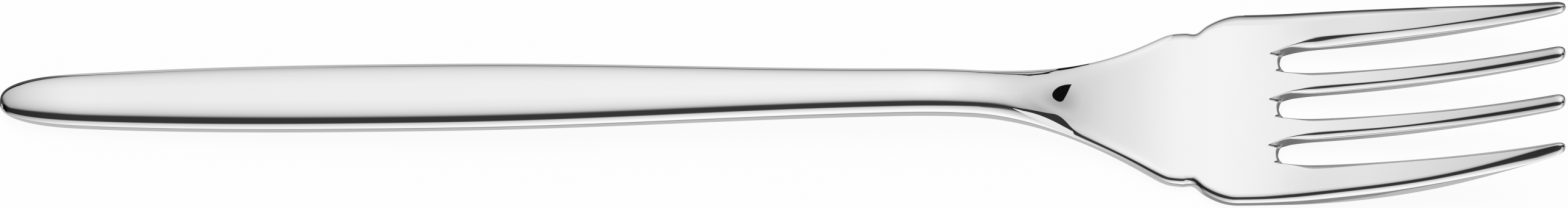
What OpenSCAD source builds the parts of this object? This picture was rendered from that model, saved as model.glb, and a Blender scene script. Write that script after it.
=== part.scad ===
// Fish fork of polished stainless steel, lying on a table with its tines up.
// The butt of the handle is at -X, the tine tips are at +X and the table is the plane z = 0.

/* [Handle] */
// Length of the handle, from the butt to the start of the neck
handle_len = 104; // [90:1:120]
// Width of the handle at its belly
handle_w = 9.2; // [7:0.1:12]
// Thickness of the handle at its belly
handle_t = 3.9; // [3:0.1:5]
// Distance from the butt to the belly, the widest place
belly_x = 46; // [36:1:60]
// How much the handle narrows from the belly to the butt, before its rounding
butt_taper = 3; // [1:0.1:4]
// How much the handle thins from the belly to the butt, before its rounding
butt_thinning = 0.8; // [0:0.1:1.4]
// Length over which the butt is rounded off
butt_round = 11; // [6:0.5:16]
// How far the butt turns up from the line of the handle
butt_lift = 0.35; // [0:0.05:1]
// Distance from the butt over which it turns up
butt_lift_len = 18; // [12:1:30]
// Distance from the butt to the heel that rests on the table
heel_x = 11; // [8:0.5:20]

/* [Neck] */
// Length of the neck, from the handle to the head
neck_len = 20.8; // [14:0.1:30]
// Width of the neck at its narrowest place
neck_w = 6.25; // [4.5:0.05:8]
// Thickness of the neck
neck_t = 3.6; // [2.6:0.1:5]
// Clear height of the neck above the table
neck_lift = 3.4; // [1:0.05:8]
// Length at the end of the neck over which its sides start to flare out
flare_in_neck = 6.2; // [3:0.1:12]

/* [Head] */
// Length of the head, from the neck to the roots of the slots
head_len = 30.8; // [26:0.1:40]
// Width of the head at its shoulders
head_w = 26.25; // [22:0.05:30]
// Thickness of the head
head_t = 1.9; // [1.4:0.1:2.6]
// Radius of the flare from the neck to the ears
flare_r = 40.5; // [36:0.1:60]
// Width across the ears, behind the notches
ear_w = 21.25; // [17:0.05:21.9]
// Distance from the notches to the roots of the slots
notch_to_root = 10.15; // [8:0.05:14]
// Depth of the notches
notch_depth = 0.25; // [0:0.05:0.8]
// Length over which the shoulders swell out in front of the notches
shoulder_len = 5.5; // [4:0.1:8]
// Extra half thickness where the neck fans out into the head
crown = 0.25; // [0:0.05:0.8]
// Radius of the upward sweep of the head and tines, seen from the side
sweep_r = 113; // [90:1:160]
// Distance from the lowest place of the head to the roots of the slots
low_to_root = 8.6; // [8:0.1:14]
// Width of the rounding along the outer edges of the head and tines
edge_roll = 1.3; // [0.4:0.05:1.6]

/* [Tines] */
// Length of the tines, from the roots of the slots to the tips
tine_len = 34.4; // [28:0.1:45]
// Width of the slots at their roots
slot_w = 3.2; // [2.4:0.01:4]
// Distance between the middles of two slots, at their roots
slot_pitch = 6.35; // [6:0.01:7]
// Width of the rounding along the slots
slot_roll = 1; // [0.4:0.05:1.4]
// Distance between two tine tips
tip_pitch = 6.61; // [6:0.01:7.2]
// Width of an inner tine just behind its rounded tip
tip_w = 2.15; // [1.4:0.05:2.6]
// Width of an outer tine just behind its rounded tip
outer_tip_w = 1.6; // [1.2:0.05:2.6]
// Thickness of a tine at its tip
tip_t = 1.5; // [1:0.05:2]
// Length over which a tip is rounded off
tip_round = 1.6; // [1:0.1:3]
// Extra half thickness of the outer tines, along their outer edges
tine_swell = 0.55; // [0:0.05:0.8]

/* [Hidden] */
steel = [0.82, 0.83, 0.84];

// Points on a quarter of a section, from its edge to its middle, for the body and for a tine
body_steps = 8;
tine_steps = 5;
// Rounding of the corners in the outline, at the ears and in the notches
ear_corner = 0.8;
notch_corner = 0.5;
// Half length of a notch, and how far into the neck the shaft keeps narrowing
notch_half = 1.3;
narrow_past_handle = 18;
// The drop from the neck to the head's lowest place starts this far before the flare
drop_before_flare = 10;
// The fan, where the neck thins out into the head's plate, ends this far before that place
fan_before_low = 12;
// Exponents of the rounded butt and tips, and of the taper towards the butt
nose_fall = 3;
nose_plan = 2.7;
nose_side = 2;
taper_power = 2.4;
// The swell of the tines starts this far behind their bases and is full this far past them
swell_before_base = 6.6;
swell_past_base = 10.4;
// Share of the swell on the inner tines, and where across the fork it grows to its whole
swell_inner_share = 0.2;
swell_from = 4;
swell_to = 12;
// How far the edges of a tine are bevelled at its tip, and the share of its length where that starts
slot_bevel = 0.35;
outer_bevel = 0.75;
bevel_from = 0.4;
// How strongly the points of a section crowd into its rounded edge
crowding = 0.27;
// The rounding of a slot root runs out of the surface at this angle from its middle
runout_angle = 75;
// Room past a face for a cutter
past = 2;

// Places along the fork, measured from the butt
neck_x = handle_len;
head_x = neck_x + neck_len;
flare_x = head_x - flare_in_neck;
root_x = head_x + head_len;
slot_r = slot_w / 2;
base_x = root_x + slot_r;
tip_x = root_x + tine_len;
notch_x = root_x - notch_to_root;
low_x = root_x - low_to_root;
drop_start = flare_x - drop_before_flare;
fan_end = low_x - fan_before_low;
swell_start = base_x - swell_before_base;
swell_peak = base_x + swell_past_base;

function mix(a, b, t) = a + (b - a) * t;
function unit(t) = max(0, min(1, t));
// Rises from 0 to 1 with no jump in slope or curvature
function ease(t) = let (u = unit(t)) u * u * u * (u * (6 * u - 15) + 10);
// The larger of t and 0, and the smaller of a and b, with a rounded corner
function soft_rise(t, corner) = (t + sqrt(t * t + corner * corner)) / 2;
function soft_min(a, b, corner) = (a + b - sqrt((a - b) * (a - b) + corner * corner)) / 2;
// A bump of height 1 that dies out at -1 and 1
function bump(t) = abs(t) < 1 ? pow(1 - t * t, 2) : 0;
// A rounded end: 0 at its point and 1 where the rounding stops
function nose(t, power) = pow(1 - pow(1 - unit(t), nose_fall), 1 / power);

// Half width of the handle and neck
function narrowing(x) = ease((x - belly_x) / (neck_x + narrow_past_handle - belly_x));
function butt_share(x) = pow(1 - unit(x / belly_x), taper_power);
function shaft_half(x) = nose(x / butt_round, nose_plan)
    * (mix(handle_w, neck_w, narrowing(x)) - butt_taper * butt_share(x)) / 2;

// Half width of the head: an arc out of the neck, the ears, a notch and the shoulders
function flare(x) = let (d = max(0, x - flare_x)) flare_r - sqrt(max(0, flare_r * flare_r - d * d));
function shoulder(x) =
    let (t = soft_rise(x - notch_x, notch_corner) / shoulder_len) 1 - pow(1 - unit(t), 2);
function body_half(x) = soft_min(shaft_half(x) + flare(x), ear_w / 2, ear_corner)
    + (head_w - ear_w) / 2 * shoulder(x)
    - notch_depth * bump((x - notch_x) / notch_half);

// Half thickness: the nose of the butt, the handle, the neck, the head and the swelling tines
function head_share(x) = ease((x - flare_x) / (low_x - flare_x));
function shaft_thick(x) = nose(x / butt_round, nose_side)
    * (mix(handle_t, neck_t, narrowing(x)) - butt_thinning * butt_share(x)) / 2;
// How far x is along the fan, from 0 to 1
function fan(x) = unit((x - flare_x) / (fan_end - flare_x));
function body_thick(x) = mix(shaft_thick(x), head_t / 2, ease(fan(x)));
function crown_at(x) = crown * bump(2 * fan(x) - 1);
function crown_half(x) = mix(neck_w, ear_w, head_share(x)) / 2;
// How far x is along the tines, from 0 at their bases to 1 at their tips
function place(x) = (x - base_x) / (tip_x - base_x);
function swell(x, y) = tine_swell
    * ease((x - swell_start) / (swell_peak - swell_start))
    * (1 - pow(unit((x - swell_peak) / (tip_x - swell_peak)), 2))
    * mix(swell_inner_share, 1, ease((abs(y) - swell_from) / (swell_to - swell_from)));
function half_thick(x, y) = nose((tip_x - x) / tip_round, nose_side)
    * (mix(body_thick(x), tip_t / 2, unit(place(x))) + crown_at(x) * bump(y / crown_half(x)) + swell(x, y));

// Width of the rounded edge: the whole half width on the shaft, and edge_roll on the head
function body_roll(x) = min(body_half(x), mix(shaft_half(x), edge_roll, head_share(x)));

// Height of the middle of a section: a straight handle that drops into the sweep of the head
function butt_rise(x) = butt_lift * pow(1 - unit(x / butt_lift_len), 2);
heel_z = shaft_thick(heel_x) - butt_rise(heel_x);
neck_z = neck_lift + neck_t / 2;
function handle_line(x) = mix(heel_z, neck_z, (x - heel_x) / (flare_x - heel_x)) + butt_rise(x);
function sweep(x) = head_t / 2 + sweep_r - sqrt(pow(sweep_r, 2) - pow(max(0, x - low_x), 2));
function spine(x) = mix(handle_line(x), sweep(x), ease((x - drop_start) / (low_x - drop_start)));

// One quarter of a section, from its edge to its middle: [distance from the middle, share of thickness].
// A fullness of 2 rounds the edge as an ellipse, and a lower one bevels it.
function quarter(half, roll, full, steps) =
    let (share = pow(roll / half, crowding))
    [for (i = [0 : steps]) let (p = i / steps, turn = 90 * p / share)
        p <= share
            ? [half - roll + roll * pow(cos(turn), 2 / full), pow(sin(turn), 2 / full)]
            : [(half - roll) * (1 - p) / (1 - share), 1]];

// A closed section at x between two edges, as a ring of points that starts at its edge on +Y.
// The rolls are the widths of the rounded edges, at low and at high, and the fulls their fullness.
function section(x, low, high, rolls, fulls, steps) =
    let (middle = (low + rolls[0] + high - rolls[1]) / 2,
         left = quarter(high - middle, rolls[1], fulls[1], steps),
         right = quarter(middle - low, rolls[0], fulls[0], steps),
         over = concat([for (p = left) [middle + p[0], p[1]]],
             [for (i = [steps - 1 : -1 : 0]) [middle - right[i][0], right[i][1]]]),
         under = [for (i = [2 * steps - 1 : -1 : 1]) [over[i][0], -over[i][1]]])
    [for (p = concat(over, under)) [x - tip_x / 2, p[0], spine(x) + p[1] * half_thick(x, p[0])]];

function body_section(x) =
    let (half = body_half(x), roll = body_roll(x)) section(x, -half, half, [roll, roll], [2, 2], body_steps);

// The edge along a slot, which is numbered -1, 0 or 1, on the side of it towards -Y or +Y
function slot_edge(slot, side, x) =
    mix(slot * slot_pitch + side * slot_r, (slot + side / 2) * tip_pitch - side * tip_w / 2, place(x));
// The edge along the outside of the fork, which leaves the head without a kink
function outer_edge(side, x) =
    side * mix(head_w / 2, 1.5 * tip_pitch - tip_w / 2 + outer_tip_w, pow(place(x), 2));
function tine_edges(number, x) = [
    number == 0 ? outer_edge(-1, x) : slot_edge(number - 2, 1, x),
    number == 3 ? outer_edge(1, x) : slot_edge(number - 1, -1, x)];
function tine_middle(number, x) = (tine_edges(number, x)[0] + tine_edges(number, x)[1]) / 2;
// Fullness of an edge's rounding, which falls from 2 by its bevel towards the tip
function fullness(x, bevel) = 2 - bevel * ease((place(x) - bevel_from) / (1 - bevel_from));
// A tine's section. Its edges close in on its middle at the tip, and its roundings share its width.
function tine_section(number, x) =
    let (edges = tine_edges(number, x),
         middle = tine_middle(number, x),
         close = nose((tip_x - x) / tip_round, nose_plan),
         rolls = [number == 0 ? edge_roll : slot_roll, number == 3 ? edge_roll : slot_roll],
         bevels = [number == 0 ? outer_bevel : slot_bevel, number == 3 ? outer_bevel : slot_bevel],
         fit = close * min(1, (edges[1] - edges[0]) / (rolls[0] + rolls[1])))
    section(x, mix(middle, edges[0], close), mix(middle, edges[1], close), fit * rolls,
        [for (bevel = bevels) fullness(x, bevel)], tine_steps);

// Skins a row of rings. A pole is a single point that closes an end, and an end without one is flat.
module loft(rings, first_pole, last_pole) {
    count = len(rings[0]);
    last = len(rings) - 1;
    poles = [for (p = [first_pole, last_pole]) if (!is_undef(p)) p];
    points = concat([for (ring = rings) each ring], poles);
    around = [for (i = [0 : count - 1]) i];
    sides = [for (k = [0 : last - 1], i = around)
        let (a = k * count + i, b = k * count + (i + 1) % count)
        each [[a, a + count, b], [b, a + count, b + count]]];
    first_cap = is_undef(first_pole)
        ? [around]
        : [for (i = around) [(last + 1) * count, i, (i + 1) % count]];
    last_cap = is_undef(last_pole)
        ? [[for (i = around) (last + 1) * count - 1 - i]]
        : [for (i = around) [len(points) - 1, last * count + (i + 1) % count, last * count + i]];
    polyhedron(points, concat(first_cap, sides, last_cap));
}

// Stations between two places, evenly spaced, or crowded towards the first by a power above 1
function stations(from, to, steps, power = 1) =
    [for (i = [0 : steps]) mix(from, to, pow(i / steps, power))];
function backwards(list) = [for (i = [len(list) - 1 : -1 : 0]) list[i]];
function tail(list) = [for (i = [1 : len(list) - 1]) list[i]];

module handle() {
    places = tail(concat(stations(0, butt_round, 9, 2), tail(stations(butt_round, neck_x, 18))));
    color(steel)
        loft([for (x = places) body_section(x)], [-tip_x / 2, 0, spine(0)], undef);
}

module neck() {
    color(steel)
        loft([for (x = stations(neck_x, head_x, 12)) body_section(x)], undef, undef);
}

// Cuts a round slot root square to the head, with the same rounded edges as the tines
module slot_root(slot) {
    roll = min(slot_roll, (slot_pitch - slot_w) / 2);
    thick = half_thick(base_x, slot * slot_pitch);
    edge = [for (angle = [-runout_angle : runout_angle / 5 : runout_angle])
        [slot_r + roll * (1 - cos(angle)), thick * sin(angle)]];
    // The straight run-out beyond the rounding, along its tangent
    runout = past * [roll * sin(runout_angle), thick * cos(runout_angle)];
    last = edge[len(edge) - 1] + runout;
    translate([base_x - tip_x / 2, slot * slot_pitch, spine(base_x)])
        rotate([0, -asin((base_x - low_x) / sweep_r), 0])
            rotate_extrude($fn = 48)
                polygon(concat([[0, -last[1]], [last[0], -last[1]]], edge, [last, [0, last[1]]]));
}

// The head ends on the middles of the slot roots, with a flat face for each tine
module head() {
    ear_start = notch_x - 5 * notch_half;
    shoulder_end = notch_x + shoulder_len;
    places = concat(
        stations(head_x, ear_start, 10),
        tail(stations(ear_start, shoulder_end, 20)),
        tail(stations(shoulder_end, base_x, 5)));
    color(steel)
        difference() {
            loft([for (x = places) body_section(x)], undef, undef);
            for (slot = [-1 : 1])
                slot_root(slot);
        }
}

// Tines are numbered 0 to 3 from -Y to +Y
module tine(number) {
    round_x = tip_x - tip_round;
    places = concat(
        stations(base_x, round_x, 14),
        tail(backwards(tail(stations(tip_x, round_x, 6, 2)))));
    color(steel)
        loft([for (x = places) tine_section(number, x)], undef,
            [tip_x / 2, tine_middle(number, tip_x), spine(tip_x)]);
}

handle();
neck();
head();
tine(0);  // outer_tine_right
tine(1);  // inner_tine_right
tine(2);  // inner_tine_left
tine(3);  // outer_tine_left
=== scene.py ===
"""Fish fork of mirror-polished stainless steel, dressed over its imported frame.

Sizes are in millimetres, and places along the fork are measured from its butt, until a mesh is made in
metres. In the studio, places are measured from the frame's origin, and the tent, the table and the lamp have
their sizes in metres.
"""
import logging
from dataclasses import dataclass
from enum import Enum
from typing import Any, ClassVar

import bmesh
import bpy
import numpy as np
from mathutils import Matrix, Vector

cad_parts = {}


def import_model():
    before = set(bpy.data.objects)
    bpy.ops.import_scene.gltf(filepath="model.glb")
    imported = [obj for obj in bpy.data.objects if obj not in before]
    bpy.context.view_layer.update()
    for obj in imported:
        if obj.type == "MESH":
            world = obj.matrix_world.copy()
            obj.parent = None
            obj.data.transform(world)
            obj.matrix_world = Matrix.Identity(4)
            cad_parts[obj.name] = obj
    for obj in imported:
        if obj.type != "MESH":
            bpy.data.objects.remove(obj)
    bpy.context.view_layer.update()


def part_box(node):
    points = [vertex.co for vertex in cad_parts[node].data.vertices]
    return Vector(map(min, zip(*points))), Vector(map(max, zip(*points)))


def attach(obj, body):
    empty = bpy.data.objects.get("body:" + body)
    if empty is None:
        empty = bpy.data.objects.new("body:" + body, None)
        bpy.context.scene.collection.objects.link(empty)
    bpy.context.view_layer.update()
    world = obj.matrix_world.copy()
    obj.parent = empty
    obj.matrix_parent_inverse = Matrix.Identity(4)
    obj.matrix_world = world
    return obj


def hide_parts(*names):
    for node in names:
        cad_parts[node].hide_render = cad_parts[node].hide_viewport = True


LOG = logging.getLogger("fish_fork")
Array = np.ndarray
Material = bpy.types.Material
Socket = bpy.types.NodeSocket
Tree = bpy.types.NodeTree
Pairs = tuple[tuple[float, float], ...]

MM = 0.001
BODY = "root"


def mix(a: Any, b: Any, t: Any) -> Any:
    """Straight blend from a to b."""
    return a + (b - a) * t


def unit(t: Any) -> Any:
    """t held between 0 and 1."""
    return np.clip(t, 0.0, 1.0)


def ease(t: Any) -> Any:
    """Rises from 0 to 1 with no jump in slope or curvature: u^3 (6 u^2 - 15 u + 10)."""
    u = unit(t)
    return u ** 3 * (u * (6 * u - 15) + 10)


def soft_rise(t: Any, corner: float) -> Any:
    """The larger of t and 0, with its corner rounded."""
    return (t + np.sqrt(t * t + corner * corner)) / 2


def soft_min(a: Any, b: Any, corner: float) -> Any:
    """The smaller of a and b, with its corner rounded."""
    return (a + b - np.sqrt((a - b) ** 2 + corner * corner)) / 2


def bump(t: Any) -> Any:
    """A bump of height 1 that dies out at -1 and 1: (1 - t^2)^2."""
    return (1 - np.minimum(t * t, 1.0)) ** 2


def linear(code: str) -> tuple[float, float, float, float]:
    """Linear red, green and blue, and an alpha of 1, of an sRGB hex code that starts with a hash sign."""
    srgb = np.array([int(code[i:i + 2], 16) for i in (1, 3, 5)]) / 255
    line = np.where(srgb <= 0.04045, srgb / 12.92, ((srgb + 0.055) / 1.055) ** 2.4)
    return (*(float(c) for c in line), 1.0)


def add_node(tree: Tree, kind: str, inputs: dict[Any, Any] | None = None, **settings: Any) -> bpy.types.Node:
    """Adds a node to a tree with its settings, its input values and its links.

    Args:
        tree: The node tree.
        kind: The node's type name.
        inputs: For each input socket, by name or number, a value or the socket that feeds it.
        **settings: Properties of the node itself.

    Returns:
        The new node.
    """
    node = tree.nodes.new(kind)
    for name, value in settings.items():
        setattr(node, name, value)
    for key, value in (inputs or {}).items():
        if isinstance(value, Socket):
            tree.links.new(value, node.inputs[key])
        else:
            node.inputs[key].default_value = value
    return node


def add_math(tree: Tree, operation: str, *terms: Any) -> Socket:
    """Adds a step of arithmetic on values or sockets and gives the socket of its result."""
    return add_node(tree, "ShaderNodeMath", dict(enumerate(terms)), operation=operation).outputs[0]


def add_noise(tree: Tree, place: Socket, scale: float, detail: float) -> Socket:
    """Adds a noise over a place and gives its socket. The scale is how many times it repeats in a metre."""
    inputs = {"Vector": place, "Scale": scale, "Detail": detail}
    return add_node(tree, "ShaderNodeTexNoise", inputs).outputs[0]


class TineSpot(Enum):
    """The four tines, from the fork's right, at -Y, to its left."""
    OUTER_RIGHT = 0
    INNER_RIGHT = 1
    INNER_LEFT = 2
    OUTER_LEFT = 3

    @property
    def node(self) -> str:
        """Name of the tine's CAD node."""
        place, side = self.name.lower().split("_")
        return f"{place}_tine_{side}"


@dataclass(frozen=True)
class Grind:
    """How the edge of a tine along a slot is ground.

    Its width grows by a facet in front of the root and again towards the tip, and its bevel flattens it.
    """
    width: float
    facet: float
    tip_growth: float
    bevel: float


@dataclass(frozen=True)
class Edge:
    """An edge of a row of sections: its place across, and the width and fullness of its rounding."""
    y: Array
    roll: Array
    full: Any = 2.0


@dataclass(frozen=True)
class ForkForm:
    """The fork's form as functions of the place x along it, in millimetres from the butt."""
    # From the frame: the places of the joint faces and of the tips, and the head's width
    neck_x: float
    head_x: float
    base_x: float
    tip_x: float
    head_w: float
    # Handle, from the butt over the belly to the neck
    handle_w: float = 9.2
    handle_t: float = 3.9
    belly_x: float = 46.0
    narrow_past_handle: float = 18.0
    taper_power: float = 2.4
    butt_taper: float = 3.0
    butt_thinning: float = 0.8
    butt_round: float = 11.0
    butt_lift: float = 0.35
    butt_lift_len: float = 18.0
    heel_x: float = 11.0
    # Neck, with the flare of its sides and the drop into the head
    neck_w: float = 6.25
    neck_t: float = 3.6
    neck_lift: float = 3.4
    flare_in_neck: float = 6.2
    flare_r: float = 40.5
    drop_before_flare: float = 10.0
    # Head, with its ears, notches, shoulders, crowned fan and upward sweep
    head_t: float = 1.9
    ear_w: float = 21.25
    ear_corner: float = 0.8
    notch_to_root: float = 10.15
    notch_depth: float = 0.25
    notch_half: float = 1.3
    notch_corner: float = 0.5
    shoulder_len: float = 5.5
    crown: float = 0.265
    fan_before_low: float = 11.4
    soft_match: float = 0.9
    sweep_r: float = 113.0
    low_to_root: float = 8.6
    edge_roll: float = 1.3
    # Slots and tines
    slot_w: float = 3.2
    slot_pitch: float = 6.35
    tip_pitch: float = 6.61
    tip_w: float = 2.15
    outer_tip_w: float = 1.6
    tip_t: float = 1.5
    tip_round: float = 1.6
    swell: float = 0.55
    swell_before_base: float = 6.6
    swell_past_base: float = 10.4
    swell_inner_share: float = 0.2
    swell_from: float = 4.0
    swell_to: float = 12.0
    # Ground edges of the tines, along the slots and outside
    base_roll: float = 0.45
    base_full: float = 1.9
    facet_len: float = 2.9
    facet_fade: float = 1.4
    tip_growth_from: float = 0.3
    tip_growth_over: float = 0.5
    outer_grind: Grind = Grind(width=0.85, facet=0.38, tip_growth=0.08, bevel=0.62)
    inner_grind: Grind = Grind(width=0.68, facet=0.22, tip_growth=0.25, bevel=0.50)
    outer_bevel: float = 0.75
    bevel_from: float = 0.4
    # Powers of the rounded ends, and of how the points of a ring crowd on its edges
    nose_fall: float = 3.0
    nose_plan: float = 2.7
    nose_side: float = 2.0
    crowding: float = 0.27

    @classmethod
    def from_frame(cls) -> "ForkForm":
        """Takes the places of the joint faces and the head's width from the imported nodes."""
        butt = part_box("handle")[0].x
        ends = {node: (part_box(node)[1].x - butt) / MM for node in ("handle", "neck", "head")}
        tip = max((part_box(spot.node)[1].x - butt) / MM for spot in TineSpot)
        low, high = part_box("head")
        return cls(neck_x=ends["handle"], head_x=ends["neck"], base_x=ends["head"], tip_x=tip,
                   head_w=(high.y - low.y) / MM)

    @property
    def slot_r(self) -> float:
        """Radius of a slot's root."""
        return self.slot_w / 2

    @property
    def root_x(self) -> float:
        """Place of the slots' roots."""
        return self.base_x - self.slot_r

    @property
    def flare_x(self) -> float:
        """Place where the neck's sides start to flare out."""
        return self.head_x - self.flare_in_neck

    @property
    def notch_x(self) -> float:
        """Place of the notches."""
        return self.root_x - self.notch_to_root

    @property
    def low_x(self) -> float:
        """Lowest place of the head."""
        return self.root_x - self.low_to_root

    def nose(self, t: Array, power: float) -> Array:
        """A rounded end, 0 at its point and 1 where it stops: (1 - (1 - t)^fall)^(1 / power)."""
        return (1 - (1 - unit(t)) ** self.nose_fall) ** (1 / power)

    def tip_nose(self, x: Array, power: float) -> Array:
        """The rounded end of a tine."""
        return self.nose((self.tip_x - x) / self.tip_round, power)

    def narrowing(self, x: Array) -> Array:
        """How far the shaft has narrowed, from 0 at the belly to 1 in the neck."""
        return ease((x - self.belly_x) / (self.neck_x + self.narrow_past_handle - self.belly_x))

    def butt_share(self, x: Array) -> Array:
        """How strongly the shaft tapers, from 1 at the butt to 0 at the belly."""
        return (1 - unit(x / self.belly_x)) ** self.taper_power

    def shaft_half(self, x: Array) -> Array:
        """Half width of the handle and neck."""
        width = mix(self.handle_w, self.neck_w, self.narrowing(x)) - self.butt_taper * self.butt_share(x)
        return self.nose(x / self.butt_round, self.nose_plan) * width / 2

    def shaft_thick(self, x: Array) -> Array:
        """Half thickness of the handle and neck."""
        thick = mix(self.handle_t, self.neck_t, self.narrowing(x)) - self.butt_thinning * self.butt_share(x)
        return self.nose(x / self.butt_round, self.nose_side) * thick / 2

    def head_share(self, x: Array) -> Array:
        """How far the neck's section has become the head's, from 0 to 1 at its lowest place."""
        return ease((x - self.flare_x) / (self.low_x - self.flare_x))

    def fan(self, x: Array) -> Array:
        """How far x is along the fan, where the neck thins out into the head's plate, from 0 to 1."""
        return unit((x - self.flare_x) / (self.low_x - self.fan_before_low - self.flare_x))

    def flare(self, x: Array) -> Array:
        """How far a side has flared out of the neck, along an arc of radius flare_r."""
        run = np.maximum(0, x - self.flare_x)
        return self.flare_r - np.sqrt(np.maximum(0, self.flare_r ** 2 - run * run))

    def shoulder(self, x: Array) -> Array:
        """How far the shoulders have swelled out in front of the notches, from 0 to 1."""
        t = soft_rise(x - self.notch_x, self.notch_corner) / self.shoulder_len
        return 1 - (1 - unit(t)) ** 2

    def body_half(self, x: Array) -> Array:
        """Half width of the body: the shaft, the flare up to the ears, a notch and the shoulders."""
        ears = soft_min(self.shaft_half(x) + self.flare(x), self.ear_w / 2, self.ear_corner)
        shoulders = (self.head_w - self.ear_w) / 2 * self.shoulder(x)
        notch = self.notch_depth * bump((x - self.notch_x) / self.notch_half)
        return np.maximum(0, ears + shoulders - notch)

    def body_roll(self, x: Array) -> Array:
        """Width of the body's rounded edge: all of the shaft, narrowing to edge_roll on the head."""
        return np.minimum(self.body_half(x), mix(self.shaft_half(x), self.edge_roll, self.head_share(x)))

    def body_flat(self, x: Array) -> Array:
        """Half width of the body between its rounded edges."""
        return self.body_half(x) - self.body_roll(x)

    def place(self, x: Array) -> Array:
        """How far along the tines x is, from 0 at their base to 1 at their tips."""
        return (x - self.base_x) / (self.tip_x - self.base_x)

    def swell_at(self, x: Array, y: Array) -> Array:
        """Extra half thickness of the tines.

        It eases in behind the slots, dies out at the tips as 1 - t^2, and grows from a share on the
        inner tines to its whole on the outer edges.
        """
        start = self.base_x - self.swell_before_base
        peak = self.base_x + self.swell_past_base
        along = ease((x - start) / (peak - start)) * (1 - unit((x - peak) / (self.tip_x - peak)) ** 2)
        across = ease((np.abs(y) - self.swell_from) / (self.swell_to - self.swell_from))
        return self.swell * along * mix(self.swell_inner_share, 1.0, across)

    def half_thick(self, x: Array, y: Array) -> Array:
        """Half thickness at a place: the shaft, plate or tine, a crown behind the head and the swell."""
        plate = mix(self.shaft_thick(x), self.head_t / 2, ease(self.fan(x)))
        plain = mix(plate, self.tip_t / 2, unit(self.place(x)))
        crown_half = mix(self.neck_w, self.ear_w, self.head_share(x)) / 2
        crown = self.crown * bump(2 * self.fan(x) - 1) * bump(y / crown_half)
        return (plain + crown + self.swell_at(x, y)) * self.tip_nose(x, self.nose_side)

    def butt_rise(self, x: Array) -> Array:
        """How far the butt turns up from the handle's line."""
        return self.butt_lift * (1 - unit(x / self.butt_lift_len)) ** 2

    def spine(self, x: Array) -> Array:
        """Height of a section's middle: a straight handle that drops into the head's upward sweep."""
        heel = np.float64(self.heel_x)
        heel_z = self.shaft_thick(heel) - self.butt_rise(heel)
        neck_z = self.neck_lift + self.neck_t / 2
        handle = mix(heel_z, neck_z, (x - self.heel_x) / (self.flare_x - self.heel_x)) + self.butt_rise(x)
        arc = np.sqrt(self.sweep_r ** 2 - np.maximum(0, x - self.low_x) ** 2)
        sweep = self.head_t / 2 + self.sweep_r - arc
        start = self.flare_x - self.drop_before_flare
        return mix(handle, sweep, ease((x - start) / (self.low_x - start)))

    def slot_edge(self, slot: int, side: int, x: Array) -> Array:
        """The edge of slot -1, 0 or 1 on its side towards -Y or +Y."""
        root = slot * self.slot_pitch + side * self.slot_r
        tip = (slot + side / 2) * self.tip_pitch - side * self.tip_w / 2
        return mix(root, tip, self.place(x))

    def outer_edge(self, side: int, x: Array) -> Array:
        """The edge along the outside of the fork, which leaves the head without a kink.

        At the tips, the outer tines lie one and a half pitches from the middle.
        """
        tip = 1.5 * self.tip_pitch - self.tip_w / 2 + self.outer_tip_w
        return side * mix(self.head_w / 2, tip, self.place(x) ** 2)

    def point(self, x: Array, y: Array, share: Array) -> Array:
        """Points of the skin in metres in the frame.

        Args:
            x: Place along the fork.
            y: Place across it.
            share: Height above the middle of the section, as a share of the half thickness there.

        Returns:
            An array whose last axis holds the three coordinates.
        """
        z = self.spine(x) + self.softened(x, y, share) * self.half_thick(x, y)
        return np.stack(np.broadcast_arrays(x - self.tip_x / 2, y, z), -1) * MM

    def softened(self, x: Array, y: Array, share: Array) -> Array:
        """A share of the height without the join between the flat and the rolled edge in the fan.

        Behind the notches it becomes sqrt(1 - u^n), where u is the share of the half width. The power n
        is such that both curves have sunk to the share soft_match at the same place.

        Args:
            x: Place along the fork.
            y: Place across it.
            share: Share of the half thickness on the flat and the rolled edge.

        Returns:
            The share with the join softened.
        """
        half = np.maximum(self.body_half(x), MM)
        flat = self.body_flat(x) / half
        fallen = 1 - self.soft_match ** 2
        power = np.log(fallen) / np.log(flat + np.sqrt(fallen) * (1 - flat))
        soft = np.sqrt(np.maximum(0, 1 - np.minimum(np.abs(y) / half, 1) ** power))
        fade = ease((x - self.low_x + self.fan_before_low) / self.fan_before_low)
        return mix(np.sign(share) * soft, share, fade)

    def outer_rounding(self, x: Array) -> tuple[Array, Array]:
        """Width and fullness of a tine's outer edge: a round 2 that falls by the bevel towards the tip."""
        past = ease((self.place(x) - self.bevel_from) / (1 - self.bevel_from))
        return np.full_like(x, self.edge_roll), 2 - self.outer_bevel * past

    def slot_rounding(self, x: Array, grind: Grind) -> tuple[Array, Array]:
        """Width and fullness of a tine's edge along a slot.

        It leaves the root round, and becomes a bevel that is widest one facet_len in front of the base
        and dies down as t e^(1 - t). Towards the tip it widens again.

        Args:
            x: Places along the fork.
            grind: How the edge is ground.

        Returns:
            The width of the rounding and its fullness, 2 for an ellipse.
        """
        t = np.maximum(0, x - self.base_x) / self.facet_len
        width = mix(self.base_roll, grind.width, ease(t)) + grind.facet * t * np.exp(1 - t)
        near_tip = ease((self.place(x) - self.tip_growth_from) / self.tip_growth_over)
        fullness = mix(2 - grind.bevel, self.base_full, np.exp(-self.facet_fade * t))
        return width + grind.tip_growth * near_tip, fullness

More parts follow.
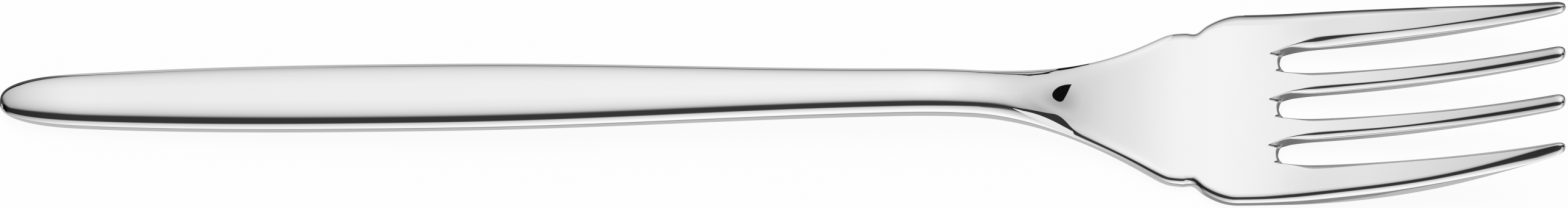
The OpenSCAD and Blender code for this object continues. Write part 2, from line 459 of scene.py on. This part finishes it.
    def rings(self, x: Array, low: Edge, high: Edge, steps: int) -> Array:
        """Closed sections at a row of places, each with its edges rounded as quarter superellipses.

        A ring starts at its edge on +Y, goes over the top to the other edge and comes back below.
        From an edge, y runs inwards by roll (1 - cos^k a) while the height follows sin^k a, where k is
        2 over the fullness, and the rest is flat.

        Args:
            x: The places, as a column.
            low: The edge towards -Y.
            high: The edge towards +Y.
            steps: Points on a quarter of a ring.

        Returns:
            A grid of points, with a row for each place.
        """
        out = np.arange(steps) / steps
        back = 1 - out
        p = np.concatenate([out, back, out, back])
        side = np.repeat([1.0, -1.0, -1.0, 1.0], steps)
        lift = np.repeat([1.0, 1.0, -1.0, -1.0], steps)
        middle = (low.y + low.roll + high.y - high.roll) / 2
        half = np.where(side > 0, high.y - middle, middle - low.y)
        roll = np.minimum(np.where(side > 0, high.roll, low.roll), half)
        share = (roll / np.maximum(half, MM)) ** self.crowding
        angle = np.pi / 2 * np.minimum(p / np.maximum(share, MM), 1)
        flat = (half - roll) * (1 - p) / np.maximum(1 - share, MM)
        power = 2 / np.where(side > 0, high.full, low.full)
        reach = half - roll * (1 - np.maximum(0, np.cos(angle)) ** power)
        y = middle + side * np.where(p <= share, reach, flat)
        return self.point(x, y, lift * np.sin(angle) ** power)


class Skin:
    """Grids of points that are welded into one closed mesh, with flat faces over its open ends."""
    WELD: ClassVar[float] = 2e-6
    SHARP: ClassVar[float] = np.radians(60)

    def __init__(self) -> None:
        """Starts with no grids."""
        self.points: list[Array] = []
        self.quads: list[Array] = []
        self.count = 0

    def add(self, grid: Array, closed: bool = False) -> None:
        """Adds a grid whose faces point along columns x rows.

        Args:
            grid: Points in rows and columns.
            closed: Whether the last column joins the first.
        """
        rows, columns = grid.shape[:2]
        index = self.count + np.arange(rows * columns).reshape(rows, columns)
        if closed:
            index = np.hstack([index, index[:, :1]])
        corners = [index[:-1, :-1], index[:-1, 1:], index[1:, 1:], index[1:, :-1]]
        self.points.append(grid.reshape(-1, 3))
        self.quads.append(np.stack(corners, -1).reshape(-1, 4))
        self.count += rows * columns

    def build(self, name: str) -> bpy.types.Object:
        """Welds the grids, closes the open ends and makes the object.

        Args:
            name: Name of the object and its mesh.

        Returns:
            The new object, at the origin.
        """
        mesh = bpy.data.meshes.new(name)
        mesh.from_pydata(np.concatenate(self.points).tolist(), [], np.concatenate(self.quads).tolist())
        work = bmesh.new()
        work.from_mesh(mesh)
        bmesh.ops.remove_doubles(work, verts=work.verts, dist=self.WELD)
        bmesh.ops.holes_fill(work, edges=[e for e in work.edges if e.is_boundary], sides=0)
        bmesh.ops.recalc_face_normals(work, faces=work.faces)
        work.to_mesh(mesh)
        work.free()
        mesh.shade_smooth()
        mesh.set_sharp_from_angle(angle=self.SHARP)
        made = bpy.data.objects.new(name, mesh)
        bpy.context.scene.collection.objects.link(made)
        return made


@dataclass(frozen=True)
class PolishedSteel:
    """Stainless steel, forged, ground along its length and buffed to a mirror.

    To the eye it is its surroundings, a little greyer, with soft edges where the buffing left the
    faintest lines along the fork and slow waves in the surface.
    """
    colour: str = "#EDEDED"
    roughness: float = 0.012
    line_roughness: float = 0.01
    smudge_roughness: float = 0.012
    # Buffing lines are finer than this: they are drawn as coarse as they need to show
    line_spacing: float = 0.3
    line_length: float = 14.0
    line_detail: float = 2.0
    smudge_size: float = 11.0
    smudge_detail: float = 4.0
    wave_length: float = 7.0
    wave_detail: float = 1.0
    wave_height: float = 0.0012

    def material(self) -> Material:
        """Makes the material: roughness from buffing lines and smudges, and a bump from slow waves."""
        steel = bpy.data.materials.new("buffed_stainless_steel")
        steel.use_nodes = True
        tree = steel.node_tree
        shader = tree.nodes["Principled BSDF"]
        shader.inputs["Base Color"].default_value = linear(self.colour)
        shader.inputs["Metallic"].default_value = 1.0
        place = add_node(tree, "ShaderNodeTexCoord").outputs["Object"]
        across, along = 1 / (self.line_spacing * MM), 1 / (self.line_length * MM)
        drawn_out = add_node(tree, "ShaderNodeMapping", {"Vector": place, "Scale": (along, across, across)})
        lines = add_noise(tree, drawn_out.outputs[0], 1.0, self.line_detail)
        smudge = add_noise(tree, place, 1 / (self.smudge_size * MM), self.smudge_detail)
        waves = add_noise(tree, place, 1 / (self.wave_length * MM), self.wave_detail)
        grain = add_math(tree, "MULTIPLY_ADD", lines, self.line_roughness, self.roughness)
        rough = add_math(tree, "MULTIPLY_ADD", smudge, self.smudge_roughness, grain)
        relief = add_node(tree, "ShaderNodeBump",
                          {"Strength": 1.0, "Distance": self.wave_height * MM, "Height": waves})
        tree.links.new(rough, shader.inputs["Roughness"])
        tree.links.new(relief.outputs[0], shader.inputs["Normal"])
        return steel


@dataclass
class Piece:
    """A region of the fork, which stands for the CAD node of the same name."""
    form: ForkForm
    node: str

    def skin(self) -> Skin:
        """The piece's surface."""
        raise NotImplementedError

    def build(self, steel: Material) -> None:
        """Makes the piece, polishes it, names it after its node, which it hides, and ties it to its body.

        Args:
            steel: The finish.
        """
        made = self.skin().build(self.node + "_polished")
        made.data.materials.append(steel)
        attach(made, BODY)
        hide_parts(self.node)
        LOG.info("%s: %d faces", made.name, len(made.data.polygons))


@dataclass
class Shaft(Piece):
    """The handle, with its rounded butt, or the neck: an oval profile carried along the spine."""
    start: float = 0.0
    end: float = 0.0
    row_pitch: float = 0.4
    nose_rows: int = 48
    quarter_steps: int = 28

    def skin(self) -> Skin:
        """Oval rings from start to end, crowded towards the butt as the square of their number."""
        even_from = max(self.start, self.form.butt_round)
        rows = np.linspace(even_from, self.end, int((self.end - even_from) / self.row_pitch) + 1)
        if self.start < self.form.butt_round:
            nose = self.form.butt_round * (np.arange(self.nose_rows) / self.nose_rows) ** 2
            rows = np.concatenate([nose, rows])
        x = rows[:, None]
        half, roll = self.form.body_half(x), self.form.body_roll(x)
        skin = Skin()
        skin.add(self.form.rings(x, Edge(-half, roll), Edge(half, roll), self.quarter_steps), closed=True)
        return skin


@dataclass(frozen=True)
class RunOut:
    """A pointed mark on the face beside a slot root.

    It is as long as this past the rim. Its point and its foot lie this far from the slot's middle.
    """
    length: float
    side: float
    foot: float


@dataclass
class Head(Piece):
    """The plate with its ears, notches and shoulders, and the three rounded slot roots.

    The top and bottom are grids whose lines run from the neck to the tine faces or to the rim of a
    slot. The rolled outer edges and the slot roots are grids of their own.
    """
    POINT_TURN: ClassVar[float] = np.radians(14)
    rows: int = 120
    row_crowding: float = 1.6
    roll_steps: int = 14
    branch_columns: int = 14
    # The rim of a slot root on the face: its roll and its hollow in the middle, and the bevel beside it
    root_roll: float = 0.3
    root_hollow: float = 0.18
    rim_bevel: float = 0.5
    # Steps along half of it: its bottom, out to the point of the mark, and back to the tine
    rim_steps: tuple[int, int, int] = (12, 8, 28)
    side_crowding: float = 1.5
    side_bend: float = 0.85
    # The grinding of the tines leaves a long mark on each root's side at +Y and a short one at -Y
    long_mark: RunOut = RunOut(length=1.1, side=0.82, foot=0.45)
    short_mark: RunOut = RunOut(length=0.4, side=1.55, foot=1.25)

    def half_rim(self, mark: RunOut) -> tuple[Array, Array, Array]:
        """Half of a slot root's rim, from its middle to the tine, about the slot's centre.

        The inner curve is a quarter circle at mid thickness. The outer one, on the face, follows the
        root, turns out to the point of the run-out and curves back to the tine's edge. The rounding
        between them goes from round at the root to the tine's as sin^4, with a bevel halfway.

        Args:
            mark: The run-out on this half.

        Returns:
            The inner and the outer curve, as rows of (x, y), and the power of the rounding between them.
        """
        form = self.form
        foot = np.arcsin(mark.foot / form.slot_r)
        point = foot + self.POINT_TURN
        root = -(form.slot_r + self.root_roll)
        tip = root - mark.length
        along, outward, back = (np.linspace(0, 1, steps + 1) for steps in self.rim_steps)
        outward, back = outward[1:], back[1:]
        turn = np.concatenate([foot * along, mix(foot, point, outward), mix(point, np.pi / 2, back)])
        bottom = np.stack([root + self.root_hollow * along ** 2, mark.foot * along], -1)
        out = np.stack([mix(root + self.root_hollow, tip, outward), mix(mark.foot, mark.side, outward)], -1)
        back = back ** self.side_crowding
        across = mix(mark.side, form.slot_r + form.base_roll, back ** self.side_bend)
        side = np.stack([tip * (1 - back), across], -1)
        inner = form.slot_r * np.stack([-np.cos(turn), np.sin(turn)], -1)
        power = mix(1, 2 / form.base_full, np.sin(turn) ** 4) + self.rim_bevel * np.sin(2 * turn) ** 2
        return inner, np.concatenate([bottom, out, side]), power

    def rim(self) -> tuple[Array, Array, Array]:
        """The rim of a slot root, from its side at -Y to its side at +Y: two halves as in half_rim."""
        low, high = self.half_rim(self.short_mark), self.half_rim(self.long_mark)
        mirror = np.array([1.0, -1.0])
        inner, outer = (np.concatenate([a[:0:-1] * mirror, b]) for a, b in zip(low[:2], high[:2]))
        return inner, outer, np.concatenate([low[2][:0:-1], high[2]])

    def face_lines(self) -> tuple[Array, Array]:
        """Where the lines of the top end, from -Y to +Y: along the slots' rims and on the tine faces.

        Returns:
            The places along and across of the ends.
        """
        form = self.form
        rim = self.rim()[1]
        flat = form.body_flat(np.float64(form.base_x))
        ends: list[Array] = []
        start = -flat
        for slot in (-1, 0, 1):
            middle = slot * form.slot_pitch
            stop = middle + rim[0, 1]
            y = np.linspace(start, stop, self.branch_columns)[:-1]
            ends.append(np.stack([np.full_like(y, form.base_x), y], -1))
            ends.append(rim + np.array([form.base_x, middle]))
            start = middle + rim[-1, 1]
        y = np.linspace(start, flat, self.branch_columns)[1:]
        ends.append(np.stack([np.full_like(y, form.base_x), y], -1))
        line = np.concatenate(ends)
        return line[:, 0], line[:, 1]

    def skin(self) -> Skin:
        """The faces, the rolled edges as quarter ellipses, and the slot roots."""
        form, skin = self.form, Skin()
        run = 1 - np.linspace(1, 0, self.rows)[:, None] ** self.row_crowding
        end_x, end_y = self.face_lines()
        x = mix(form.head_x, end_x, run)
        y = end_y / form.body_flat(end_x) * form.body_flat(x)
        top, bottom = form.point(x, y, np.float64(1)), form.point(x, y, np.float64(-1))
        skin.add(top[:, ::-1])
        skin.add(bottom)
        angle = np.linspace(-np.pi / 2, np.pi / 2, 2 * self.roll_steps + 1)
        x = mix(form.head_x, form.base_x, run)
        reach = form.body_half(x) - form.body_roll(x) * (1 - np.cos(angle))
        skin.add(form.point(x, reach, np.sin(angle)))
        skin.add(form.point(x, -reach, np.sin(angle))[:, ::-1])
        inner, outer, power = self.rim()
        spread = 1 - np.maximum(0, np.cos(angle)) ** power[:, None]
        lift = np.sign(angle) * np.abs(np.sin(angle)) ** power[:, None]
        rim = inner[:, None] + (outer - inner)[:, None] * spread[..., None]
        for slot in (-1, 0, 1):
            root = form.point(rim[..., 0] + form.base_x, rim[..., 1] + slot * form.slot_pitch, lift)
            skin.add(root[:, ::-1])
        return skin


@dataclass
class Tine(Piece):
    """A tapered tine with a rounded point, carried along the sweep."""
    spot: TineSpot = TineSpot.OUTER_RIGHT
    row_pitch: float = 0.22
    nose_rows: int = 24
    quarter_steps: int = 18

    def edges(self, x: Array) -> tuple[Edge, Edge]:
        """The tine's edges towards -Y and +Y at a row of places, which shrink together into the tip."""
        form, number = self.form, self.spot.value
        outer_low, outer_high = self.spot is TineSpot.OUTER_RIGHT, self.spot is TineSpot.OUTER_LEFT
        low = form.outer_edge(-1, x) if outer_low else form.slot_edge(number - 2, 1, x)
        high = form.outer_edge(1, x) if outer_high else form.slot_edge(number - 1, -1, x)
        grind = form.outer_grind if outer_low or outer_high else form.inner_grind
        low_roll, low_full = form.outer_rounding(x) if outer_low else form.slot_rounding(x, grind)
        high_roll, high_full = form.outer_rounding(x) if outer_high else form.slot_rounding(x, grind)
        taper = form.tip_nose(x, form.nose_plan)
        fit = np.minimum(1, (high - low) / (low_roll + high_roll)) * taper
        middle = (low + high) / 2
        return (Edge(mix(middle, low, taper), low_roll * fit, low_full),
                Edge(mix(middle, high, taper), high_roll * fit, high_full))

    def skin(self) -> Skin:
        """Rings from the base to the tip, crowded towards the tip as the square of their number."""
        form = self.form
        round_x = form.tip_x - form.tip_round
        rows = np.linspace(form.base_x, round_x, int((round_x - form.base_x) / self.row_pitch) + 1)
        nose = form.tip_x - form.tip_round * (np.arange(self.nose_rows)[::-1] / self.nose_rows) ** 2
        x = np.concatenate([rows, nose])[:, None]
        skin = Skin()
        skin.add(form.rings(x, *self.edges(x), self.quarter_steps), closed=True)
        return skin


def add_choice(tree: Tree, test: Socket, no: Any, yes: Any) -> Socket:
    """Adds a choice between two values or sockets by a test that is 0 or 1."""
    return add_node(tree, "ShaderNodeMix", {0: test, 2: no, 3: yes}, data_type="FLOAT").outputs[0]


def add_levels(tree: Tree, value: Socket, stops: Pairs) -> Socket:
    """Adds a quantity that follows a value through a row of stops.

    Args:
        tree: The node tree.
        value: Socket of the value.
        stops: Pairs of a value and the quantity there, from 0 up, in rising order.

    Returns:
        Socket of the quantity.
    """
    low, high = stops[0][0], stops[-1][0]
    peak = max(level for _, level in stops)
    place = add_node(tree, "ShaderNodeMapRange", {"Value": value, "From Min": low, "From Max": high})
    ramp = add_node(tree, "ShaderNodeValToRGB", {0: place.outputs[0]})
    elements = ramp.color_ramp.elements
    while len(elements) < len(stops):
        elements.new(1.0)
    for element, (at, level) in zip(elements, stops):
        element.position = (at - low) / (high - low)
        element.color = (level / peak,) * 3 + (1.0,)
    return add_math(tree, "MULTIPLY", ramp.outputs[0], peak)


def add_axes(tree: Tree, direction: bool = False) -> tuple[Socket, ...]:
    """Adds the parts of a shaded point's place in the frame along X, Y and Z.

    Args:
        tree: The node tree.
        direction: Whether to give the direction from the origin, and not the place in millimetres.

    Returns:
        Sockets of the three parts.
    """
    place = add_node(tree, "ShaderNodeTexCoord").outputs["Object"]
    if direction:
        vector = add_node(tree, "ShaderNodeVectorMath", {0: place}, operation="NORMALIZE")
    else:
        vector = add_node(tree, "ShaderNodeVectorMath", {0: place, "Scale": 1 / MM}, operation="SCALE")
    return tuple(add_node(tree, "ShaderNodeSeparateXYZ", {0: vector.outputs[0]}).outputs)


def add_background_rays(tree: Tree) -> Socket:
    """Adds a value that is 1 for rays that see the white background: camera, glossy and transmission."""
    rays = add_node(tree, "ShaderNodeLightPath").outputs
    mirrored = add_math(tree, "MAXIMUM", rays["Is Glossy Ray"], rays["Is Transmission Ray"])
    return add_math(tree, "MAXIMUM", rays["Is Camera Ray"], mirrored)


def clear_tree(owner: Material | bpy.types.World) -> Tree:
    """Gives a material or world an empty node tree."""
    owner.use_nodes = True
    owner.node_tree.nodes.clear()
    return owner.node_tree


def end_in_glow(tree: Tree, level: Any) -> None:
    """Ends a material's tree in light of a level, which is a value or a socket."""
    glow = add_node(tree, "ShaderNodeEmission", {"Strength": level})
    add_node(tree, "ShaderNodeOutputMaterial", {"Surface": glow.outputs[0]})


def add_panel(name: str, corners: Array, dress: Material, in_steel_only: bool,
              faces: list[tuple[int, ...]] | None = None) -> bpy.types.Object:
    """Adds a flat sheet, or a box of sheets, to the stage.

    Args:
        name: Name of the sheet.
        corners: Its corners in metres, in order.
        dress: Its material.
        in_steel_only: Whether it shows only as a reflection in the steel.
        faces: The corners of each sheet, where there are more than one.

    Returns:
        The sheet's object.
    """
    mesh = bpy.data.meshes.new(name)
    mesh.from_pydata(corners.tolist(), [], faces or [tuple(range(len(corners)))])
    mesh.materials.append(dress)
    made = bpy.data.objects.new(name, mesh)
    made.visible_camera = made.visible_diffuse = made.visible_shadow = not in_steel_only
    bpy.context.scene.collection.objects.link(made)
    return made


def square(half: float, height: float) -> Array:
    """Corners of a level square about the Z axis."""
    return np.array([(x * half, y * half, height) for x, y in ((-1, -1), (1, -1), (1, 1), (-1, 1))])


class Dress(Enum):
    """What a small sheet is made of, with the level at which it shows in the steel."""
    BLACK_VELVET = 0.005
    DARK_FELT = 0.035
    WHITE_PAPER = 0.95

    def material(self) -> Material:
        """Makes the material."""
        made = bpy.data.materials.new(self.name.lower())
        end_in_glow(clear_tree(made), self.value)
        return made


@dataclass(frozen=True)
class Flag:
    """A piece of black velvet, which the steel mirrors as a dark shape.

    Each corner is a direction from the eye, a place on the fork: its angle from straight up in degrees,
    above zero towards the back, and its part along the fork. The distance from the eye is in metres.
    """
    name: str
    corners: Pairs
    eye: tuple[float, float, float]
    distance: float = 2.5

    def build(self) -> None:
        """Makes the flag."""
        turn, along = np.array(self.corners).T
        turn, across = np.radians(turn), np.sqrt(1 - along ** 2)
        way = np.stack([along, across * np.sin(turn), across * np.cos(turn)], -1)
        corners = MM * np.array(self.eye) + self.distance * way
        add_panel(self.name, corners, Dress.BLACK_VELVET.material(), in_steel_only=True)


@dataclass(frozen=True)
class Card:
    """A small card held flat over the fork.

    Its outline is a ring of curves along and across the fork. Each is given by its start and the point
    that draws it, and ends at the start of the next.
    """
    CURVE_STEPS: ClassVar[int] = 8
    name: str
    ring: Pairs
    height: float
    dress: Dress

    def outline(self) -> Array:
        """Points along the curves: (1 - t)^2 a + 2 t (1 - t) b + t^2 c, drawn from a to c by b."""
        t = np.arange(self.CURVE_STEPS)[:, None] / self.CURVE_STEPS
        starts, draws = np.array(self.ring[::2]), np.array(self.ring[1::2])
        ends = np.roll(starts, -1, axis=0)
        return np.concatenate([(1 - t) ** 2 * a + 2 * t * (1 - t) * b + t ** 2 * c
                               for a, b, c in zip(starts, draws, ends)])

    def build(self) -> None:
        """Makes the card."""
        corners = MM * np.insert(self.outline(), 2, self.height, axis=1)
        add_panel(self.name, corners, self.dress.material(), in_steel_only=True)


@dataclass(frozen=True)
class BackScreen:
    """A glowing grey screen that stands close behind the head, with painted shade darkening it towards its
    foot, and draws its far edges.
    """
    start: float = 46.5
    end: float = 77.0
    back: float = 20.0
    top: float = 17.0
    # Its glow by the height above a foot line that climbs with the tines, falling towards the foot as
    # painted shade
    climb: float = 0.13
    levels: Pairs = (
        (-8, 0.06), (-5.0, 0.08), (-4.2, 0.14), (-3.2, 0.30), (-2, 0.48), (0, 0.64), (2.5, 0.74), (6, 0.95))

    def build(self) -> None:
        """Makes the screen of glowing paper, with painted shade in its levels over the height."""
        # The paper glows, with painted shade that darkens it towards its foot
        paper = bpy.data.materials.new("dyed_paper")
        tree = clear_tree(paper)
        along, _, height = add_axes(tree)
        above = add_math(tree, "SUBTRACT", height, add_math(tree, "MULTIPLY", along, self.climb))
        end_in_glow(tree, add_levels(tree, above, self.levels))
        corners = [(self.start, self.back, 0), (self.end, self.back, 0),
                   (self.end, self.back, self.top), (self.start, self.back, self.top)]
        add_panel("back_screen", MM * np.array(corners), paper, in_steel_only=True)


@dataclass(frozen=True)
class Tent:
    """A box of lit white cloth round the table, with a dark mouth on the camera's side.

    Its level follows the angle of a direction from straight up, in degrees: below zero towards the
    camera, above zero towards the back. One row of stops leads up from the mouth, and one down from it.
    The sides scale both by the part of the direction along the fork.
    """
    half: float = 40.0
    above: Pairs = (
        (-24, 0.04), (-21, 0.15), (-17.5, 0.48), (-13, 0.68), (-7, 0.81), (2, 0.92), (16, 1.0), (40, 0.99),
        (54, 0.93), (65, 0.86), (76, 0.74), (84, 0.62), (92, 0.55), (180, 0.55))
    below: Pairs = (
        (-180, 0.60), (-112, 0.90), (-90, 1.10), (-75, 1.0), (-62, 0.86), (-52.5, 0.73), (-50.5, 0.60),
        (-47.5, 0.12), (-44, 0.04))
    sides: Pairs = (
        (-1, 0.70), (-0.96, 0.70), (-0.93, 0.05), (-0.86, 0.05), (-0.78, 0.40), (-0.70, 0.54),
        (-0.48, 0.73), (-0.28, 0.92), (-0.22, 0.99), (-0.05, 1.07), (0.02, 1.05), (0.18, 0.91), (0.38, 0.79),
        (0.43, 0.73), (0.45, 0.65), (0.48, 0.42), (0.55, 0.55), (0.65, 0.50), (0.75, 0.20), (0.86, 0.20),
        (0.93, 0.70), (1, 0.70))
    # How far the mouth's two rims are raised, in degrees, by the part of the direction along the fork
    upper_rim: Pairs = (
        (-1, 0), (-0.96, 0), (-0.93, 40), (-0.825, 40), (-0.775, 28), (-0.725, 18), (-0.675, 13.5),
        (-0.475, 8.5), (-0.275, 4.5), (-0.175, 0), (0.25, 0), (0.31, 6), (0.38, 18), (0.86, 18), (0.93, 0),
        (1, 0))
    lower_rim: Pairs = (
        (-1, 0), (-0.2, 0), (-0.1, 2.5), (0, 4), (0.1, 7), (0.15, 13), (0.2, 17), (1, 18))

    def build(self) -> None:
        """Makes the box, which lights the table and shows in the steel, but not to the camera."""
        cloth = bpy.data.materials.new("lit_tent_cloth")
        tree = clear_tree(cloth)
        along, depth, height = add_axes(tree, direction=True)
        angle = add_math(tree, "DIVIDE", add_math(tree, "ARCTAN2", depth, height), float(np.radians(1)))
        upper = add_math(tree, "SUBTRACT", angle, add_levels(tree, along, self.upper_rim))
        lower = add_math(tree, "SUBTRACT", angle, add_levels(tree, along, self.lower_rim))
        roof, floor = add_levels(tree, upper, self.above), add_levels(tree, lower, self.below)
        arch = add_math(tree, "MAXIMUM", roof, floor)
        end_in_glow(tree, add_math(tree, "MULTIPLY", arch, add_levels(tree, along, self.sides)))
        corners = np.concatenate([square(self.half, -self.half), square(self.half, self.half)])
        faces = [(3, 2, 1, 0), (4, 5, 6, 7), *((i, (i + 1) % 4, 4 + (i + 1) % 4, 4 + i) for i in range(4))]
        box = add_panel("tent", corners, cloth, in_steel_only=True, faces=faces)
        box.visible_diffuse = True


@dataclass(frozen=True)
class Table:
    """A white table top, and on it a glowing mat that only the steel sees, with the fork's shadow painted on
    it.
    """
    half: float = 3.0
    colour: str = "#F4F4F4"
    # How much of the white is its own: the rest takes the light and the shadow
    glow: float = 0.93
    mat_height: float = 0.02
    # In front of the fork, the mat's grey strip, the fork's painted shadow, ends in a darker line: the
    # strip's width by the place along the fork, and the level by the distance from the fork as a share of
    # that width
    strip: Pairs = (
        (-95, 13), (-60, 15), (0, 17), (25, 22), (45, 16), (51, 12.5), (62, 12.5), (73, 17), (80, 30),
        (88, 80), (95, 80))
    past_strip: Pairs = ((0, 0.58), (0.9, 0.58), (1.0, 0.30), (1.6, 0.30), (1.9, 1.05))
    # Behind the fork, the fork's painted shadow near it and a darker stretch further off: the level by the
    # distance from it, but by the place along it at the butt
    behind: Pairs = ((0, 0.58), (34, 0.55), (42, 0.15), (150, 0.15), (200, 0.55))
    behind_butt: Pairs = ((-100, 0.10), (-91, 0.10), (-88, 0.57), (-62, 0.57))
    behind_tines: float = 0.12
    # Under the tines, the painted shadow of the tines and head: the level by the place along the fork, this
    # far to each side
    under_tines: Pairs = ((56, 0.16), (62, 0.18), (66, 0.30), (74, 0.46), (95, 0.55))
    under_half: float = 12.0

    def build(self) -> None:
        """Makes the table top and the mat."""
        add_panel("table_top", square(self.half, 0.0), self.white_sheet(), in_steel_only=False)
        # The mat glows, with the fork's shadow painted on it
        add_panel("mat", square(self.half, self.mat_height * MM), self.painted_shadow_sheet(), in_steel_only=True)

    def white_sheet(self) -> Material:
        """The top's material: near white to the camera, so that only a faint shadow stays."""
        sheet = bpy.data.materials.new("white_table")
        tree = clear_tree(sheet)
        matt = add_node(tree, "ShaderNodeBsdfDiffuse", {"Color": linear(self.colour)})
        white = add_node(tree, "ShaderNodeEmission", {"Strength": 1.0})
        share = add_math(tree, "MULTIPLY", add_background_rays(tree), self.glow)
        seen = add_node(tree, "ShaderNodeMixShader", {0: share, 1: matt.outputs[0], 2: white.outputs[0]})
        add_node(tree, "ShaderNodeOutputMaterial", {"Surface": seen.outputs[0]})
        return sheet

    def painted_shadow_sheet(self) -> Material:
        """The mat's glow, with its levels in front of the fork, behind it and under the tines, where the
        fork's shadow is painted.
        """
        sheet = bpy.data.materials.new("lit_opal_sheet")
        tree = clear_tree(sheet)
        along, depth, _ = add_axes(tree)
        # The grey near the fork, in front of it and behind it, is its painted shadow
        ahead = add_math(tree, "MULTIPLY", depth, -1.0)
        past = add_math(tree, "DIVIDE", ahead, add_levels(tree, along, self.strip))
        front = add_levels(tree, past, self.past_strip)
        butt = add_math(tree, "LESS_THAN", along, self.behind_butt[-1][0])
        tines = add_math(tree, "GREATER_THAN", along, self.under_tines[0][0])
        back = add_choice(tree, butt, add_levels(tree, depth, self.behind),
                          add_levels(tree, along, self.behind_butt))
        back = add_choice(tree, tines, back, self.behind_tines)
        open_mat = add_choice(tree, add_math(tree, "GREATER_THAN", depth, 0.0), front, back)
        # Under the tines the mat shows the painted shadow of the tines and head
        beside = add_math(tree, "LESS_THAN", add_math(tree, "ABSOLUTE", depth), self.under_half)
        under = add_math(tree, "MULTIPLY", beside, tines)
        end_in_glow(tree, add_choice(tree, under, open_mat, add_levels(tree, along, self.under_tines)))
        return sheet


@dataclass(frozen=True)
class Studio:
    """A white backdrop, a table in a tent, a lamp, and the small sheets that draw lines in the steel."""
    lamp_size: float = 1.2
    lamp_place: tuple[float, float, float] = (0.0, 0.2, 1.5)
    lamp_power: float = 12.0
    # The first two flags show along the neck's far edge, the last at the butt
    flags: tuple[Flag, ...] = (
        Flag("seam_ribbon", ((92, 0.03), (83, 0.10), (74, 0.17), (72, 0.17), (81, 0.10), (89.5, 0.03)),
             eye=(30.0, 4.0, 4.5)),
        Flag("neck_card", ((92, -0.36), (76, -0.18), (82, 0.06), (102, 0.36), (126, 0.36), (130, -0.36)),
             eye=(35.5, 5.0, 3.6), distance=0.005),
        Flag("butt_flag", ((90, -0.2), (92, -0.2), (92, -0.96), (64, -0.96), (78, -0.4)),
             eye=(-90.0, 0.0, 3.0)),
    )
    # Over the fan, a black card shows as a drop, and a dark and a white one bend the dark near band
    cards: tuple[Card, ...] = (
        Card("drop_card", ((39.6, 7.2), (39.4, 5), (38.6, 3.2), (37.9, 2.2), (37.2, 3), (36.7, 3.8),
                           (37.6, 5.6), (38.4, 7.3)), height=10.5, dress=Dress.BLACK_VELVET),
        Card("band_card", ((28.6, -3.6), (33.6, -3.1), (35.2, -2.1), (36.7, -1.4), (36.9, -4), (37, -5.2),
                           (37.3, -6.6), (37.2, -7.6), (36.9, -8), (35.5, -3.6), (31, -4.2), (29.8, -4.1)),
             height=8.5, dress=Dress.DARK_FELT),
        Card("fan_card", ((29.4, -4), (34.9, -3.2), (36.4, -6.9), (35.2, -11), (34.1, -15.4), (33.4, -8.4)),
             height=8.6, dress=Dress.WHITE_PAPER),
    )

    def build(self) -> None:
        """Sets the plain view transform and puts up the studio."""
        bpy.context.scene.view_settings.view_transform = "Standard"
        for part in (*self.flags, *self.cards, BackScreen(), Tent(), Table()):
            part.build()
        self.backdrop()
        self.lamp()

    def backdrop(self) -> None:
        """World: plain white to the rays that see the background, and no light of its own."""
        world = bpy.data.worlds.new("white_backdrop")
        bpy.context.scene.world = world
        tree = clear_tree(world)
        glow = add_node(tree, "ShaderNodeBackground",
                        {"Color": (1.0, 1.0, 1.0, 1.0), "Strength": add_background_rays(tree)})
        add_node(tree, "ShaderNodeOutputWorld", {"Surface": glow.outputs[0]})

    def lamp(self) -> None:
        """A soft lamp overhead, kept out of the reflections, for the shadow on the table."""
        light = bpy.data.lights.new("overhead_softbox", "AREA")
        light.size = self.lamp_size
        light.energy = self.lamp_power
        made = bpy.data.objects.new("overhead_softbox", light)
        made.location = self.lamp_place
        made.visible_glossy = False
        bpy.context.scene.collection.objects.link(made)


@dataclass(frozen=True)
class PhotoCamera:
    """A long lens in front of the fork that looks down on it, turned and rolled a little."""
    elevation: float = 60.0
    distance: float = 1160.0
    turn: float = 0.1453
    roll: float = -0.1209
    frame_width: float = 189.53
    sensor: float = 36.0
    target: tuple[float, float, float] = (0.90, -0.87, 3.43)

    def build(self) -> None:
        """Makes the camera and gives it to the scene.

        Its axes are right, up and back: back rises by the elevation from the turned front, and the
        roll then turns right and up about it.
        """
        rise, c, s = np.radians(self.elevation), np.cos(self.roll), np.sin(self.roll)
        right = np.array([np.cos(self.turn), np.sin(self.turn), 0.0])
        ahead = np.array([-np.sin(self.turn), np.cos(self.turn), 0.0])
        above = np.array([0.0, 0.0, 1.0])
        up = np.sin(rise) * ahead + np.cos(rise) * above
        back = np.sin(rise) * above - np.cos(rise) * ahead
        place = (np.array(self.target) + self.distance * back) * MM
        matrix = np.identity(4)
        matrix[:3] = np.stack([c * right + s * up, c * up - s * right, back, place], -1)
        lens = bpy.data.cameras.new("photo_camera")
        lens.sensor_fit = "HORIZONTAL"
        lens.sensor_width = self.sensor
        lens.lens = self.sensor * self.distance / self.frame_width
        made = bpy.data.objects.new("photo_camera", lens)
        made.matrix_world = Matrix(matrix.tolist())
        bpy.context.scene.collection.objects.link(made)
        bpy.context.scene.camera = made


def main() -> None:
    """Loads the frame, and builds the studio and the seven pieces."""
    logging.basicConfig(level=logging.INFO, format="%(name)s %(message)s")
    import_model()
    PhotoCamera().build()
    Studio().build()
    form = ForkForm.from_frame()
    steel = PolishedSteel().material()
    pieces: list[Piece] = [
        Shaft(form, "handle", start=0.0, end=form.neck_x),
        Shaft(form, "neck", start=form.neck_x, end=form.head_x, row_pitch=0.2),
        Head(form, "head"),
        *(Tine(form, spot.node, spot=spot) for spot in TineSpot),
    ]
    for piece in pieces:
        piece.build(steel)


if __name__ == "__main__":
    main()
